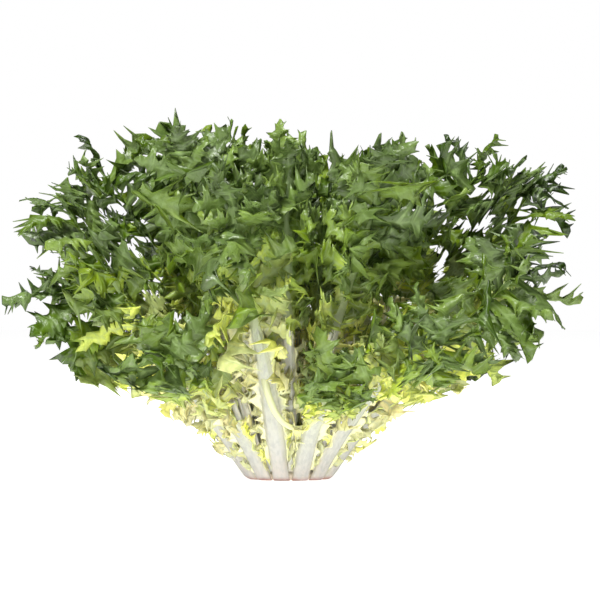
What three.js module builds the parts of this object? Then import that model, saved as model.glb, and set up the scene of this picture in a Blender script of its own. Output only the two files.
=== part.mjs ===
// A curly endive (frisee) head, standing on its cut base as it does on a counter.
// Millimetres, +Z up. The origin is the centre of the cut face, and the front of the head faces -Y.
//
// Every leaf lies along an arc that leaves the foot and bends outwards. Outer leaves start further
// out, lean more and bend more, so that no two arcs ever meet. The head is shared out along those
// arcs: whorls share it from the middle outwards, and the leaves of a whorl share the turn. A leaf
// keeps inside its own share, which is why neighbours come close and never touch.

import * as THREE from "three";

// The fan of arcs
const FOOT_RADIUS = 25; // of the outermost stalks at the cut
const DEPTH_SHARE = 0.93; // front to back, against side to side
const LEAN_DEG = 46; // of the outermost arc from upright, at the foot
const LEAN_POWER = 1.85; // how fast the lean grows from the middle outwards
const ARCH_DEG_PER_MM = 0.25; // how much the outermost arc bends outwards
const ARCH_POWER = 4.8; // how fast that bend grows from the middle outwards
const LEAST_BEND = 1e-6; // in radians a millimetre, of the upright arcs in the middle
const SHARE_USED = 0.94; // of a leaf's share of the head, so that a gap stays round it

// Stalks and ribs
const EDGE = 1.5; // thickness of a stalk or rib at its edges
const BULGE = 0.22; // how far its middle stands outwards, as a share of its thickness
const RIB_TIP = { width: 3, thick: 1.1 }; // of a rib at its tip
const STALK_GAP = 0.35; // between a white stalk and the green leaf that it carries
const STALK_ROWS = [0, 0.12, 0.4, 0.7, 1]; // where a stalk has its sections, as shares of its length
const WANDER = 0.2; // how far a rib wanders sideways, as a share of its half of the room there
const WANDER_WAVE = 7; // radians of that wave along a leaf
const SWAY_POWER = 1.4; // how late along a leaf its sway outwards or inwards comes

// Leaves
const BLADE = 0.8; // thickness of the green parts
const TIP_LOBE = 29; // length of the lobe that ends a leaf
const TIP_LIFT = [-0.35, 0.45]; // how far it stands out of the leaf, as a share of its length
const LOBE_REACH = 1.5; // length of a side lobe against the room that its leaf has there
const LOBE_AHEAD = 1.2; // the same against the way that is left to the leaf's tip
const LOBE_MOST = 46; // the longest side lobe
const LOBE_TURN_DEG = [16, 66]; // how far side lobes turn out of the leaf's plane
const SWEEP_DEG = [20, 48]; // how far they point forwards, at the leaf's foot and at its tip
const TWIST_DEG = 30; // how far a lobe turns about itself towards its tip, at most
const CURL = 0.16; // how far its teeth bend out of its plane, as a share of its length, at most
const TOOTH_AT = [0.56, 0.7]; // how far out its lower and its upper tooth are, as a share of its length
const TOOTH_ROOM = 0.6; // how far its side teeth reach into the way to the next lobe
const TOOTH_MOST = 0.42; // the same as a share of the lobe's length, at most
const TOOTH_JITTER = 0.1; // how far the teeth vary, as a share of the lobe's length
const NECK_AT = [0.3, 0.36]; // how far out the lower and the upper side of a lobe are narrowest
const NECK = 0.07; // half its width there, as a share of its length, at most
const NECK_ROOM = 0.07; // the same as a share of the way to the next lobe, at most

// The three-toothed lobe that ends a leaf, as shares of its length across and along, and of its lift
const TIP_NECK = { across: 0.07, along: 0.3, lift: 0.1 };
const TIP_RIGHT = { across: 0.46, along: 0.6, lift: 0.8 };
const TIP_LEFT = { across: -0.46, along: 0.7, lift: 0.8 };
const TIP_END = { across: 0, along: 1, lift: 0.5 };

// The two teeth of a wing and the notch between them, as shares of the way between two sections of
// the stalk and of the wing's width
const WING_TOOTH = [0.42, 0.8];
const WING_NOTCH = [0.55, 0.25];
const WING_END = [0.95, 1];

// How leaves and lobes vary, each as the least and the most that a draw gives
const SWAY_RANGE = [0.8, 1.15];
const LENGTH_RANGE = [0.96, 1.03];
const BARE_RANGE = [0.9, 1.1];
const ACROSS_RANGE = [-0.25, 0.25];
const SWEEP_RANGE = [0.96, 1.04];
const LOBE_RANGE = [0.85, 1.1];

// The repeatable draws: each next state is the last one times the factor, modulo the last number
const DRAW_FACTOR = 16807;
const DRAW_MODULO = 2147483647;
const SEED_STEP = 7919;
const SEED_START = 9004411;
const DRAWS_LEFT_OUT = 3; // the first ones, which would grow evenly from leaf to leaf

// Leaves whose tips come near this upright plane are shorter, which parts the crown.
const PARTING = { x: 30, width: 18, depth: 0.18 };

// The cut stem that the leaves grow round, as radius and height
const STEM_PROFILE = [
  [18.8, 0],
  [18.8, 3.3],
  [13.0, 5.5],
  [12.2, 9.0],
  [6.8, 9.4],
  [6.0, 11.2],
];
const STEM_SIDES = 18;
const STEM_DOME = 0.4; // how far the top of the stem rises over its last ring

// Whorls from the outside inwards. share is the whorl's part of the fan, from 0 in the middle to 1
// outside, and turn the place of its first leaf. foot is where its stalks start, length how long
// the whole leaf is, and bare the part of that with no lobes. sways says which way each leaf sways,
// from -1 inwards to 1 outwards, over and over round the whorl, on top of how far all of them are
// tucked in. fall is how much shorter the outwards ones are. rows counts the pairs of lobes.
const WHORLS = [
  {
    name: "outer",
    count: 13,
    share: [0.74, 1],
    turn: 1.35,
    foot: 0,
    bare: 0.46,
    length: 189,
    fall: 0.25,
    rows: 7,
    sway: 0.8,
    sways: [1, -1, 1, -1, 1, 0, -1, 1, -1, 1, 0.8, 0, -1],
    tuck: 0.12,
    stalk: { width: 13.5, thick: 4.6 },
    rib: { width: 8, thick: 2.6 },
    wing: { wide: 8, curl: 8 },
    split: true,
    green: "leaf_green",
  },
  {
    name: "middle",
    count: 12,
    share: [0.5, 0.74],
    turn: 1,
    foot: 6.4,
    bare: 0.46,
    length: 221,
    fall: -0.05,
    rows: 8,
    sway: 0.85,
    sways: [-1, 1],
    tuck: 0,
    stalk: { width: 10, thick: 4.4 },
    rib: { width: 7, thick: 2.4 },
    split: true,
    green: "leaf_light_green",
  },
  {
    name: "inner",
    count: 6,
    share: [0.3, 0.5],
    turn: 0.3,
    foot: 9.9,
    bare: 0.43,
    length: 214,
    fall: 0,
    rows: 8,
    sway: 0.5,
    sways: [-1, 0, -1, 1, 0, -1],
    tuck: 0,
    stalk: { width: 7, thick: 4 },
    rib: { width: 6, thick: 2.2 },
    split: false,
    green: "heart_yellow",
  },
  {
    name: "heart",
    count: 3,
    share: [0, 0.3],
    turn: 0.1,
    foot: 12.2,
    bare: 0.4,
    length: 204,
    fall: 0,
    rows: 7,
    sway: 0.1,
    sways: [-1, 1],
    tuck: 0,
    stalk: { width: 4, thick: 2.6 },
    rib: { width: 5, thick: 2 },
    split: false,
    green: "heart_yellow",
  },
];

const MATERIALS = {
  cut_stem: { color: 0xe6dcc0, roughness: 0.6 },
  stalk_white: { color: 0xe9ecd2, roughness: 0.45 },
  leaf_green: { color: 0x54832b, roughness: 0.5 },
  leaf_light_green: { color: 0x78a23e, roughness: 0.5 },
  heart_yellow: { color: 0xd3d878, roughness: 0.5 },
};

const rad = THREE.MathUtils.degToRad;
const lerp = THREE.MathUtils.lerp;

// A repeatable draw between 0 and 1, from a seed of its own for each leaf.
function drawsFrom(seed) {
  let state = seed * SEED_STEP + SEED_START;
  const draw = () => {
    state = (state * DRAW_FACTOR) % DRAW_MODULO;
    return state / DRAW_MODULO;
  };
  for (let i = 0; i < DRAWS_LEFT_OUT; i++) draw();
  return draw;
}

// Radius and height of the arc at a share of the fan, s millimetres from the foot.
function arc(share, s) {
  const lean = rad(LEAN_DEG) * share ** LEAN_POWER;
  const bend = Math.max(rad(ARCH_DEG_PER_MM) * share ** ARCH_POWER, LEAST_BEND);
  const angle = lean + bend * s;
  return {
    r: FOOT_RADIUS * share + (Math.cos(lean) - Math.cos(angle)) / bend,
    z: (Math.sin(angle) - Math.sin(lean)) / bend,
  };
}

// Half the width and half the depth of a leaf's share of the head at s.
function shareSize(leaf, s) {
  const [inside, outside] = leaf.whorl.share;
  const a = arc(inside, s);
  const b = arc(outside, s);
  return {
    halfWidth: (Math.PI / leaf.whorl.count) * arc((inside + outside) / 2, s).r,
    halfDepth: Math.hypot(a.r - b.r, a.z - b.z) / 2,
  };
}

// How far a lobe can go from the leaf's middle at s, turned out of the leaf's plane.
function roomTowards(leaf, s, turn) {
  const size = shareSize(leaf, s);
  const wide = Math.abs(Math.cos(turn)) / size.halfWidth;
  const deep = Math.abs(Math.sin(turn)) / size.halfDepth;
  return 1 / (wide ** 4 + deep ** 4) ** 0.25;
}

// Bends any distance into less than half, the half width or depth of a leaf's share, and says
// which part of that half it is. Short distances hardly change.
function squeeze(distance, half) {
  const part = distance / half;
  return (part / (1 + part ** 4) ** 0.25) * (SHARE_USED - BLADE / (2 * half));
}

// From a leaf's own millimetres to space: x across it, y outwards from the head, s along it.
function place(leaf, x, y, s) {
  const [inside, outside] = leaf.whorl.share;
  const size = shareSize(leaf, s);
  const out = squeeze(y, size.halfDepth);
  const side = squeeze(x, size.halfWidth);
  const share = (inside + outside) / 2 + (out * (outside - inside)) / 2;
  const { r, z } = arc(share, s);
  const turn = leaf.turn + (side * Math.PI) / leaf.whorl.count;
  return new THREE.Vector3(r * Math.cos(turn), DEPTH_SHARE * r * Math.sin(turn), z);
}

// What differs from leaf to leaf. Every draw is made here or in lobesOf, in this order.
function makeLeaf(whorl, index, number) {
  const draw = drawsFrom(number);
  const leaf = { whorl, draw };
  const outwards = whorl.sways[index % whorl.sways.length];
  leaf.turn = ((index + whorl.turn) / whorl.count) * 2 * Math.PI;
  leaf.swayOut = whorl.sway * outwards * lerp(...SWAY_RANGE, draw()) - whorl.tuck;
  leaf.length = whorl.length * lerp(...LENGTH_RANGE, draw()) * (1 - whorl.fall * leaf.swayOut);
  const tip = arc((whorl.share[0] + whorl.share[1]) / 2, leaf.length).r * Math.cos(leaf.turn);
  leaf.length *= 1 - PARTING.depth * Math.exp(-(((tip - PARTING.x) / PARTING.width) ** 2));
  leaf.bare = leaf.length * whorl.bare * lerp(...BARE_RANGE, draw());
  leaf.wanderPhase = draw() * 2 * Math.PI;
  leaf.swayAcross = lerp(...ACROSS_RANGE, draw());
  leaf.ribEnd = leaf.length - TIP_LOBE;
  return leaf;
}

// The middle of a leaf's stalk and rib at s: it wanders a little and its tip leans out or in.
function ribAt(leaf, s) {
  const size = shareSize(leaf, s);
  const along = s / leaf.length;
  const wander = WANDER * Math.sin(along * WANDER_WAVE + leaf.wanderPhase) * along;
  return {
    x: size.halfWidth * (wander + leaf.swayAcross * along ** 3),
    y: size.halfDepth * leaf.swayOut * along ** SWAY_POWER,
  };
}

// A row across the stalk or rib: its two edges and its thicker, outwards bulging middle.
function ribRow(leaf, s, width, thick) {
  const { x, y } = ribAt(leaf, s);
  return [
    { x: x - width / 2, y, s, h: EDGE },
    { x, y: y + thick * BULGE, s, h: thick },
    { x: x + width / 2, y, s, h: EDGE },
  ];
}

// The side lobes of a leaf: two to a row, turned by turns outwards and inwards.
function lobesOf(leaf) {
  const { rows } = leaf.whorl;
  const { draw } = leaf;
  const lobes = [];
  for (let row = 0; row < rows; row++)
    for (const side of [-1, 1]) {
      const along = (row + 0.5) / rows;
      const away = (row + (side > 0 ? 0 : 1)) % 2 ? -1 : 1;
      const turn = away * rad(lerp(...LOBE_TURN_DEG, draw()));
      const sweep = rad(lerp(...SWEEP_DEG, along)) * lerp(...SWEEP_RANGE, draw());
      const s = lerp(leaf.bare, leaf.ribEnd, along);
      const ahead = (LOBE_AHEAD * (leaf.length - s)) / (Math.sin(sweep) * Math.cos(turn));
      const sideways = roomTowards(leaf, s, turn) * LOBE_REACH;
      const length = Math.min(sideways, ahead, LOBE_MOST) * lerp(...LOBE_RANGE, draw());
      const spacing = ((2 * (leaf.ribEnd - leaf.bare)) / rows) * Math.cos(sweep);
      const neck = Math.min(NECK, (NECK_ROOM * spacing) / length);
      const tooth = Math.min(TOOTH_MOST, (TOOTH_ROOM * spacing) / length);
      const twist = rad(lerp(-TWIST_DEG, TWIST_DEG, draw()));
      const curl = lerp(-CURL, CURL, draw());
      const teeth = Array.from({ length: 5 }, () => (draw() - 0.5) * TOOTH_JITTER);
      lobes.push({ row, side, turn, sweep, length, neck, tooth, twist, curl, teeth });
    }
  return lobes;
}

// A lobe's own directions at its root: along it, across it towards the leaf's tip, and out of it.
function lobeFrame(lobe) {
  const { side, sweep, turn } = lobe;
  const flat = Math.cos(turn);
  const along = new THREE.Vector3(
    side * Math.cos(sweep) * flat,
    Math.sin(turn),
    Math.sin(sweep) * flat,
  );
  const across = new THREE.Vector3(-side * Math.sin(sweep), 0, Math.cos(sweep));
  const face = new THREE.Vector3().crossVectors(along, across);
  return { along, across, face };
}

// A thin leaf in the making: points in the leaf's own millimetres, and the faces between them.
class Sheet {
  constructor(leaf) {
    this.leaf = leaf;
    this.points = [];
    this.faces = [];
  }

  add(point) {
    this.points.push(point);
    return this.points.length - 1;
  }

  // A face whose corners run anticlockwise as seen from outside the head, or mirrored on the left.
  face(a, b, c, side = 1) {
    this.faces.push(side > 0 ? [a, b, c] : [a, c, b]);
  }

  // The stalk or rib: rows joined by four faces a step.
  rib(rows) {
    const ids = rows.map((row) => row.map((point) => this.add(point)));
    for (let i = 1; i < ids.length; i++)
      for (const k of [0, 1]) {
        const [a, b, c, d] = [ids[i - 1][k], ids[i - 1][k + 1], ids[i][k + 1], ids[i][k]];
        this.face(a, b, c);
        this.face(a, c, d);
      }
    return ids;
  }

  // A three-toothed lobe on the edge of the rib between two rows.
  lobe(lobe, low, high) {
    const [a, b] = [this.points[low], this.points[high]];
    const root = new THREE.Vector3((a.x + b.x) / 2, (a.y + b.y) / 2, (a.s + b.s) / 2);
    const { along, across, face } = lobeFrame(lobe);
    const size = lobe.length;
    const at = (far, wide, up) => {
      const turned = lobe.twist * far;
      const p = root
        .clone()
        .addScaledVector(along, far * size)
        .addScaledVector(across, size * (wide * Math.cos(turned) - up * Math.sin(turned)))
        .addScaledVector(face, size * (wide * Math.sin(turned) + up * Math.cos(turned)));
      return this.add({ x: p.x, y: p.y, s: p.z, h: BLADE });
    };
    const [j0, j1, j2, j3, j4] = lobe.teeth;
    const lowNeck = at(NECK_AT[0], -lobe.neck, 0);
    const lowTooth = at(TOOTH_AT[0] + j0, -lobe.tooth * (1 - 2 * j1), lobe.curl);
    const tip = at(1 + j2, j3, -lobe.curl);
    const highTooth = at(TOOTH_AT[1] + j4, lobe.tooth * (1 + 2 * j1), lobe.curl);
    const highNeck = at(NECK_AT[1], lobe.neck, 0);
    this.face(low, lowNeck, highNeck, lobe.side);
    this.face(low, highNeck, high, lobe.side);
    this.face(lowNeck, lowTooth, tip, lobe.side);
    this.face(lowNeck, tip, highNeck, lobe.side);
    this.face(highNeck, tip, highTooth, lobe.side);
  }

  // A ragged wing along a bare stretch of stalk: two teeth between two rows.
  wing(low, high, side, { wide, curl }) {
    const [a, b] = [this.points[low], this.points[high]];
    const at = (far, out) =>
      this.add({
        x: lerp(a.x, b.x, far) + side * wide * out,
        y: lerp(a.y, b.y, far) + curl * out,
        s: lerp(a.s, b.s, far),
        h: BLADE,
      });
    const first = at(...WING_TOOTH);
    const notch = at(...WING_NOTCH);
    const second = at(...WING_END);
    this.face(low, first, notch, side);
    this.face(low, notch, high, side);
    this.face(notch, second, high, side);
  }

  // The lobe that ends the leaf: a long middle tooth between two shorter ones.
  tipLobe([left, middle, right], draw) {
    const end = this.points[middle];
    const rise = lerp(...TIP_LIFT, draw()) * TIP_LOBE;
    const at = ({ across, along, lift }, side = 1) => {
      const x = end.x + side * across * TIP_LOBE;
      return this.add({ x, y: end.y + lift * rise, s: end.s + along * TIP_LOBE, h: BLADE });
    };
    const rightNeck = at(TIP_NECK);
    const rightTooth = at(TIP_RIGHT);
    const tip = at(TIP_END);
    const leftTooth = at(TIP_LEFT);
    const leftNeck = at(TIP_NECK, -1);
    this.face(middle, right, rightNeck);
    this.face(middle, rightNeck, leftNeck);
    this.face(middle, leftNeck, left);
    this.face(rightNeck, rightTooth, tip);
    this.face(rightNeck, tip, leftNeck);
    this.face(leftNeck, tip, leftTooth);
  }

  // The closed solid: each face twice, half the thickness to either side, and walls along the edges.
  solid() {
    const { leaf, points, faces } = this;
    const middle = points.map((p) => place(leaf, p.x, p.y, p.s));
    const normals = middle.map(() => new THREE.Vector3());
    for (const [a, b, c] of faces) {
      const ab = middle[b].clone().sub(middle[a]);
      const ac = middle[c].clone().sub(middle[a]);
      const normal = ab.cross(ac).normalize();
      for (const k of [a, b, c]) normals[k].add(normal);
    }
    const spread = (sign) =>
      middle.map((p, i) =>
        p.clone().addScaledVector(normals[i].normalize(), (sign * points[i].h) / 2),
      );
    const corners = [...spread(1), ...spread(-1)];
    corners.forEach((corner, i) => {
      if (points[i % points.length].s === 0) corner.z = 0;
    });
    const under = points.length;
    const triangles = [];
    const edges = new Set(faces.flatMap(([a, b, c]) => [`${a},${b}`, `${b},${c}`, `${c},${a}`]));
    for (const [a, b, c] of faces) {
      triangles.push([a, b, c], [under + a, under + c, under + b]);
      for (const [p, q] of [[a, b], [b, c], [c, a]])
        if (!edges.has(`${q},${p}`)) triangles.push([q, p, under + p], [q, under + p, under + q]);
    }
    return new THREE.BufferGeometry().setFromPoints(corners).setIndex(triangles.flat());
  }
}

const head = new THREE.Group();
head.name = "curly_endive_head";

function addNode(name, geometry, finish) {
  const material = new THREE.MeshStandardMaterial({ ...MATERIALS[finish], metalness: 0 });
  const mesh = new THREE.Mesh(geometry, material);
  mesh.name = name;
  head.add(mesh);
}

// The low dome of cut stem, flat underneath.
function stemGeometry() {
  const profile = [[0, 0], ...STEM_PROFILE, [0, STEM_PROFILE.at(-1)[1] + STEM_DOME]];
  const lathe = new THREE.LatheGeometry(
    profile.map(([r, z]) => new THREE.Vector2(r, z)),
    STEM_SIDES,
  );
  return lathe.rotateX(Math.PI / 2).scale(1, DEPTH_SHARE, 1);
}

// The rows of the white stalk, from its foot to where the green starts.
function stalkRows(leaf, end) {
  const { stalk, rib, foot } = leaf.whorl;
  return STALK_ROWS.map((t) => {
    const width = lerp(stalk.width, rib.width, t ** 2);
    return ribRow(leaf, lerp(foot, end, t), width, lerp(stalk.thick, rib.thick, t));
  });
}

// The rows of the green rib, narrowing to the tip.
function ribRows(leaf, start) {
  const { rib, rows } = leaf.whorl;
  return Array.from({ length: rows + 1 }, (_, i) => {
    const t = i / rows;
    const width = lerp(rib.width, RIB_TIP.width, t);
    return ribRow(leaf, lerp(start, leaf.ribEnd, t), width, lerp(rib.thick, RIB_TIP.thick, t));
  });
}

// The lobed part: side lobes on both edges of the rib and the lobe at the tip.
function addLobes(sheet, ids) {
  for (const lobe of lobesOf(sheet.leaf)) {
    const edge = lobe.side > 0 ? 2 : 0;
    sheet.lobe(lobe, ids[lobe.row][edge], ids[lobe.row + 1][edge]);
  }
  sheet.tipLobe(ids.at(-1), sheet.leaf.draw);
}

function stalkSolid(leaf) {
  const sheet = new Sheet(leaf);
  const ids = sheet.rib(stalkRows(leaf, leaf.bare - STALK_GAP));
  if (leaf.whorl.wing)
    for (let i = 1; i < ids.length - 1; i++)
      for (const side of [-1, 1]) {
        const edge = side > 0 ? 2 : 0;
        sheet.wing(ids[i][edge], ids[i + 1][edge], side, leaf.whorl.wing);
      }
  return sheet.solid();
}

function frillSolid(leaf) {
  const sheet = new Sheet(leaf);
  addLobes(sheet, sheet.rib(ribRows(leaf, leaf.bare)));
  return sheet.solid();
}

function wholeLeafSolid(leaf) {
  const sheet = new Sheet(leaf);
  const stalk = stalkRows(leaf, leaf.bare).slice(0, -1);
  const ids = sheet.rib([...stalk, ...ribRows(leaf, leaf.bare)]);
  addLobes(sheet, ids.slice(stalk.length));
  return sheet.solid();
}

addNode("stem", stemGeometry(), "cut_stem");
let number = 0;
for (const whorl of WHORLS)
  for (let index = 0; index < whorl.count; index++) {
    const leaf = makeLeaf(whorl, index, ++number);
    const label = `${whorl.name}_${String(index + 1).padStart(2, "0")}`;
    if (whorl.split) {
      addNode(`stalk_${label}`, stalkSolid(leaf), "stalk_white");
      addNode(`leaf_${label}`, frillSolid(leaf), whorl.green);
    } else addNode(`leaf_${label}`, wholeLeafSolid(leaf), whorl.green);
  }

export default head;
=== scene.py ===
import math

import bpy
import numpy as np
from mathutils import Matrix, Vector


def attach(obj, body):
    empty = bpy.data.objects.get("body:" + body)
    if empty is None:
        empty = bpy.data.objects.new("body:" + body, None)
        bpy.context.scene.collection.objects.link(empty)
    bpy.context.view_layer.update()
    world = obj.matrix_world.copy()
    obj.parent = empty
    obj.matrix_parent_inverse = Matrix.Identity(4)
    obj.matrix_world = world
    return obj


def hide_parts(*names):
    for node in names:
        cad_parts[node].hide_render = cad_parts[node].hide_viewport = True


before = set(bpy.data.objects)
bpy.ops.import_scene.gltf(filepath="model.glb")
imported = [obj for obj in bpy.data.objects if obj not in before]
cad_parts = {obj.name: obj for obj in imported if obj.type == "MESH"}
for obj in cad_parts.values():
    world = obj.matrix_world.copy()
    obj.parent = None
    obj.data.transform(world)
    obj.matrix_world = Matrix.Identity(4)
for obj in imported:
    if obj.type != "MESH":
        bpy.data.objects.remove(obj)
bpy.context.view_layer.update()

METRES_PER_MM = 0.001

# The fan of arcs, in millimetres
FOOT_RADIUS = 25.0  # of the outermost arc where it leaves the ground
DEPTH_SHARE = 0.93  # the head's depth for its width
LEAN_DEG = 46.0  # how far the outermost arc leans at its foot
LEAN_POWER = 1.85
ARCH_DEG_PER_MM = 0.25  # how fast it bends back towards the ground
ARCH_POWER = 4.8
LEAST_BEND = 1e-6  # an inner arc is all but straight, and the same formula serves it
SHARE_USED = 0.94  # how much of its share of the head a leaf fills
BLADE = 0.8  # thickness of a solid blade

# How leaves and lobes vary, and the draws that say so
SWAY_RANGE = (0.8, 1.15)
LENGTH_RANGE = (0.96, 1.03)
BARE_RANGE = (0.9, 1.1)
ACROSS_RANGE = (-0.25, 0.25)
SWEEP_RANGE = (0.96, 1.04)
LOBE_RANGE = (0.85, 1.1)
WANDER = 0.2
WANDER_WAVE = 7
SWAY_POWER = 1.4
DRAW_FACTOR = 16807
DRAW_MODULO = 2147483647
SEED_STEP = 7919
SEED_START = 9004411
DRAWS_LEFT_OUT = 3

# Leaves, as in the solids
EDGE = 1.5  # thickness of a stalk at its edge
TIP_LOBE = 29.0  # length of the lobe that ends a leaf
TIP_WIDE = 0.48  # its half width, as a share of that
LOBE_AHEAD = 1.2  # a lobe's longest reach, as a share of the leaf that is left ahead of it
LOBE_REACH = 1.5  # and of the room beside it
LOBE_MOST = 46.0
LOBE_TURN_DEG = (16, 66)  # how far lobes turn out of the leaf's plane
SWEEP_DEG = (20, 48)  # how far they point forwards, low and high on the blade
TWIST_DEG = 30
CURL = 0.16
TOOTH_ROOM = 0.6
TOOTH_MOST = 0.42
NECK = 0.07
NECK_ROOM = 0.07
TOOTH_JITTER = 0.1
PARTING = {"x": 30, "width": 18, "depth": 0.18}  # where the crown is parted, and how deeply

PALE_MARGIN = {"start": 0.35, "sizes": (8, 17), "every": 9, "yellow": 0.7}

# From the outside in. share: the whorl's part of the fan; turn: how far round its first leaf
# stands, in steps from leaf to leaf; foot: where its stalks start; bare: the part of a leaf below
# its blade; fall: how much shorter a leaf is that sways outwards; sway, sways and tuck: how its
# leaves lean in their shares; stalk and rib: width and thickness at the foot and where the blade
# starts; lime: how yellow its lowest lobes are; split: whether its stalks are white nodes of their
# own; green: its blades' slot; frill and margin: the ragged edge and the small pale lobes of its
# stalks, which start at a share of the bare part.
WHORLS = [
    {"name": "outer", "count": 13, "share": (0.74, 1), "turn": 1.35, "foot": 0, "bare": 0.46,
     "length": 189, "fall": 0.25, "rows": 7, "sway": 0.8, "tuck": 0.12, "stalk": (13.5, 4.6),
     "sways": (1, -1, 1, -1, 1, 0, -1, 1, -1, 1, 0.8, 0, -1), "rib": (8, 2.6),
     "lime": 1, "split": True, "green": "leaf_green",
     "frill": {"start": 0.08, "wide": 10, "curl": 6},
     "margin": {"start": 0.13, "sizes": (12, 22), "every": 7, "yellow": 1.0}},
    {"name": "middle", "count": 12, "share": (0.5, 0.74), "turn": 1, "foot": 6.4, "bare": 0.46,
     "length": 221, "fall": -0.05, "rows": 8, "sway": 0.85, "tuck": 0, "stalk": (10, 4.4),
     "sways": (-1, 1), "rib": (7, 2.4), "lime": 0.12, "split": True, "green": "leaf_light_green",
     "frill": {"start": 0.4, "wide": 5, "curl": 2},
     "margin": {"start": 0.5, "sizes": (9, 20), "every": 9, "yellow": 0.9}},
    {"name": "inner", "count": 6, "share": (0.3, 0.5), "turn": 0.3, "foot": 9.9, "bare": 0.43,
     "length": 214, "fall": 0, "rows": 8, "sway": 0.5, "tuck": 0, "stalk": (7, 4),
     "sways": (-1, 0, -1, 1, 0, -1), "rib": (6, 2.2), "lime": 0, "split": False,
     "green": "heart_yellow", "margin": PALE_MARGIN},
    {"name": "heart", "count": 3, "share": (0, 0.3), "turn": 0.1, "foot": 12.2, "bare": 0.4,
     "length": 204, "fall": 0, "rows": 7, "sway": 0.1, "tuck": 0, "stalk": (4, 2.6),
     "sways": (-1, 1), "rib": (5, 2), "lime": 0, "split": False, "green": "heart_yellow",
     "margin": PALE_MARGIN},
]

# Fine leaves
FINE_BLADE = 0.6  # thickness of a blade at its vein
FINE_EDGE = 0.4  # and at its margin
SMALL_SHARE_USED = 1.1  # small lobes reach a little into the gaps between the leaves' shares
WEB = 3.4  # width of the thin blade along each side of the rib
WEB_START = 14.0  # the stretch of the rib over which it widens to that
WEB_WAVE = 1.4  # how far it waves in and out
RIB_BULGE = 0.22  # how round the outer face of the rib is, as a share of its thickness
STALK_BULGE = 0.34  # and that of the stalk
RIDGE_HEIGHT = 0.3  # ridges along a stalk
RIDGE_PACE = 15  # their pace across it, in radians a half width
WEDGE = 16.0  # how far the white stalk runs out along the green rib
LARGE_WAVE = 0.5  # how far the teeth of a solid's lobe stand out of its plane, as a share of its width
SMALL_WAVE = 0.6  # and those of a smaller lobe
SMALL_REACH = 1.35  # a smaller lobe's longest reach, as a share of the room beside it
SMALL_MOST = 42.0
TIP_ROLL = 0.4  # how far the tip of a lobe rolls out of its plane, as a share of its length
ROOT_SPREAD = 0.26  # the part of a lobe that spreads along the rib
ROOT_REACH = 0.42  # how far it spreads, as a share of its stretch of the rib
ROOT_INSET = 0.6  # how far inside the rib's edge it starts
ACROSS_LOBE = np.array([-1, -0.5, 0, 0.5, 1])  # a lobe's five columns of points, the vein midmost
LOBE_THICK = (FINE_EDGE, FINE_BLADE, FINE_BLADE * 1.3, FINE_BLADE, FINE_EDGE)
# Paleness across a lobe's columns: the vein in the middle, and painted light at both edges for light
# through the curled margins
VEIN_AND_LIT_EDGE_PALE = np.array([0.5, 0.1, 1.0, 0.1, 0.5])
SIDE_VEIN_PALE = 0.85
FOLD_HEIGHT = 1.2  # small folds across a lobe, in millimetres
FOLD_PACE = 0.55  # and their pace along it, in radians a millimetre
FOLD_PHASE = 30  # spreads a lobe's twist and curl over the folds' phase
TIP_FAN_DEG = (0, -58, 55, -30, 33)  # lobes that end a leaf: the solid's, and smaller ones beside it
TIP_FOOT = 1.5  # how far these start before the rib's end, and how far their feet spread
RIB_ROWS = 56
RIB_TIP_WIDTH = 3.0
RIB_TIP_THICK = 1.1
RIB_STOPS = 0.6  # how far before the leaf's end its rib ends, in lengths of the tip lobe
STALK_ROWS = 30
FRILL_PAST = 4.0  # how far a stalk's frill runs on past the start of the green
FRILL_STEP = 1.3  # between a frill's rows of points
FRILL_THICK = (1.0, 0.6, 0.5, 0.4)
LIME_REACH = 0.32  # how far up the blade its lowest lobes are lime, as a share of its length
FORKED = "outer_09"  # the stalk nearest the camera, which has a thin side branch
# Its path in space, the width at its two ends, and how it is made smooth
FORK_PATH = ((-16.5, -53, 82), (-15.5, -58, 74), (-14.5, -63, 66), (-13, -65, 56), (-9.5, -63, 45),
             (-4, -59, 36), (3, -56, 32), (10, -54, 33), (17, -53, 38))
FORK_WIDTH = (3.4, 1.4)
FORK_ROWS = 26
FORK_ROUNDS = 4

# The cut stem: radius and height of its profile, from the middle of its top to that of the cut
STEM_PROFILE = ((0.3, 11.6), (6.0, 11.2), (6.8, 9.4), (12.2, 9.0), (13.0, 5.5), (18.5, 3.3), (18.5, 0.7),
                (18.0, 0.3), (0.3, 0.3))
STEM_COLUMNS = 97
STEM_ROWS_A_STEP = 6
STEM_WAVES = 13  # how often its rim goes in and out
STEM_WAVE = 0.03  # and how far, as a share of its radius
STEM_SHELL = 0.6


def lerp(a, b, t):
    """The value that lies the share t of the way from a to b."""
    return a + (b - a) * t


# Where a leaf lies, and what it draws


def draws_from(seed):
    """The solids' own repeatable draw between 0 and 1."""
    state = seed * SEED_STEP + SEED_START

    def draw():
        nonlocal state
        state = (state * DRAW_FACTOR) % DRAW_MODULO
        return state / DRAW_MODULO

    for _ in range(DRAWS_LEFT_OUT):
        draw()
    return draw


def arc(share, s):
    """Radius and height of the arc at a share of the fan, s millimetres from the foot."""
    lean = math.radians(LEAN_DEG) * share**LEAN_POWER
    bend = np.maximum(math.radians(ARCH_DEG_PER_MM) * share**ARCH_POWER, LEAST_BEND)
    angle = lean + bend * s
    r = FOOT_RADIUS * share + (np.cos(lean) - np.cos(angle)) / bend
    return r, (np.sin(angle) - np.sin(lean)) / bend


def share_size(leaf, s):
    """Half the width and half the depth of a leaf's share of the head at s."""
    inside, outside = leaf.whorl["share"]
    r_in, z_in = arc(inside, s)
    r_out, z_out = arc(outside, s)
    half_width = math.pi / leaf.whorl["count"] * arc((inside + outside) / 2, s)[0]
    return half_width, np.hypot(r_in - r_out, z_in - z_out) / 2


def room_towards(leaf, s, turn):
    """How far a leaf's share of the head reaches from its middle in the direction of turn."""
    half_width, half_depth = share_size(leaf, s)
    wide = abs(math.cos(turn)) / half_width
    deep = abs(math.sin(turn)) / half_depth
    return 1 / (wide**4 + deep**4) ** 0.25


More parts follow.
